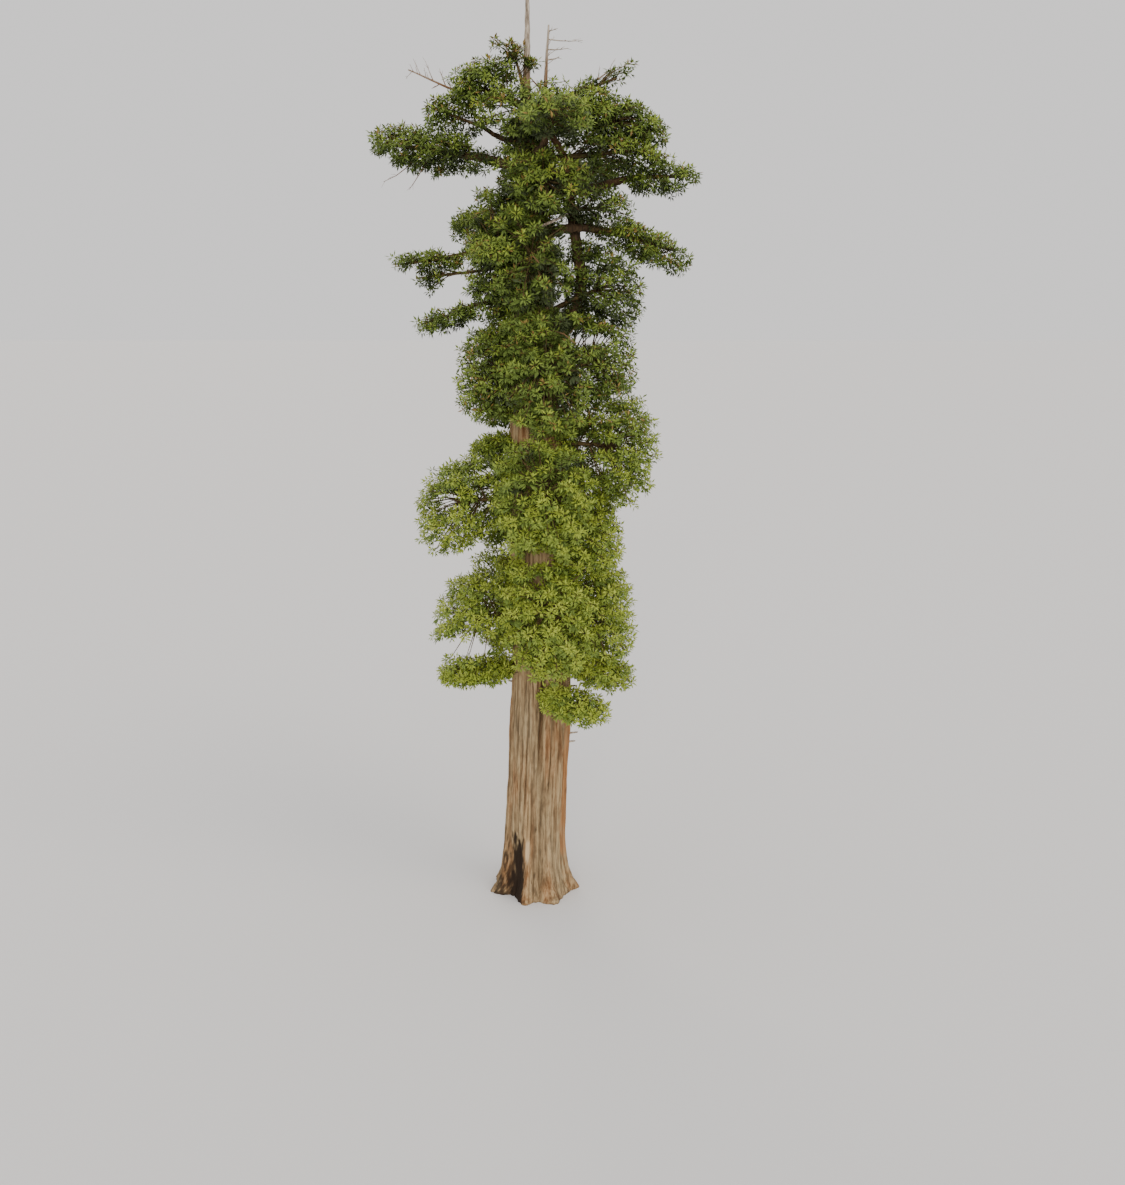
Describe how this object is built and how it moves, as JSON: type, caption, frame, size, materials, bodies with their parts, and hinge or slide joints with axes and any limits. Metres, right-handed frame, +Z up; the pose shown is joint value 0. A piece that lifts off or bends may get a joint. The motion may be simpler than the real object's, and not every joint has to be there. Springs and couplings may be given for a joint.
{
  "type": "old-growth coast redwood tree",
  "caption": "Very tall old coast redwood with a thick fluted trunk, dense hanging foliage masses, long top boughs and twin dead spires.",
  "frame": {"origin": "middle of the flat cut under the trunk, at ground level", "axes": "+Z up along the trunk, +X to the right and +Y away from the viewer as the picture shows the tree"},
  "size_m": [13.719, 11.3309, 39.9807],
  "materials": {
    "bark": "fibrous fluted bark, matt",
    "dead_wood": "weathered bare dead wood, matt",
    "foliage": "sprays of green needles, satin"
  },
  "bodies": {
    "root": {"trunk": "bark", "dead_spire": "dead_wood", "second_stem": "bark", "second_top": "dead_wood", "dead_left_branch": "dead_wood", "dead_right_branch": "dead_wood", "bare_limb": "dead_wood", "long_left_bough": "bark", "left_hand_bough": "bark", "left_middle_bough": "bark", "left_low_bough": "bark", "right_long_bough": "bark", "right_middle_bough": "bark", "front_bough": "bark", "back_left_bough": "bark", "back_right_bough": "bark", "lower_left": "foliage", "lower_front": "foliage", "lower_right": "foliage", "lower_back_left": "foliage", "lower_back_right": "foliage", "low_left_lobe": "foliage", "low_right_lobe": "foliage", "low_front_spray": "foliage", "middle_left": "foliage", "middle_front": "foliage", "middle_right": "foliage", "middle_right_low": "foliage", "middle_back_left": "foliage", "middle_back_right": "foliage", "left_finger": "foliage", "upper_left": "foliage", "upper_front": "foliage", "upper_right": "foliage", "upper_back_left": "foliage", "upper_back_right": "foliage", "high_left": "foliage", "high_front": "foliage", "high_right": "foliage", "high_back": "foliage", "front_left_arm": "foliage", "shoulder_front": "foliage", "shoulder_back": "foliage", "top_centre": "foliage", "top_left": "foliage", "top_right": "foliage", "top_right_tuft": "foliage", "crossing_tuft": "foliage", "left_hand": "foliage", "long_left": "foliage", "left_arm": "foliage", "left_hanging_tuft": "foliage", "left_low_arm": "foliage", "right_upper": "foliage", "right_long": "foliage", "right_inner": "foliage", "right_arm": "foliage", "front_arm": "foliage", "back_left_arm": "foliage", "back_right_arm": "foliage"}
  },
  "joints": []
}
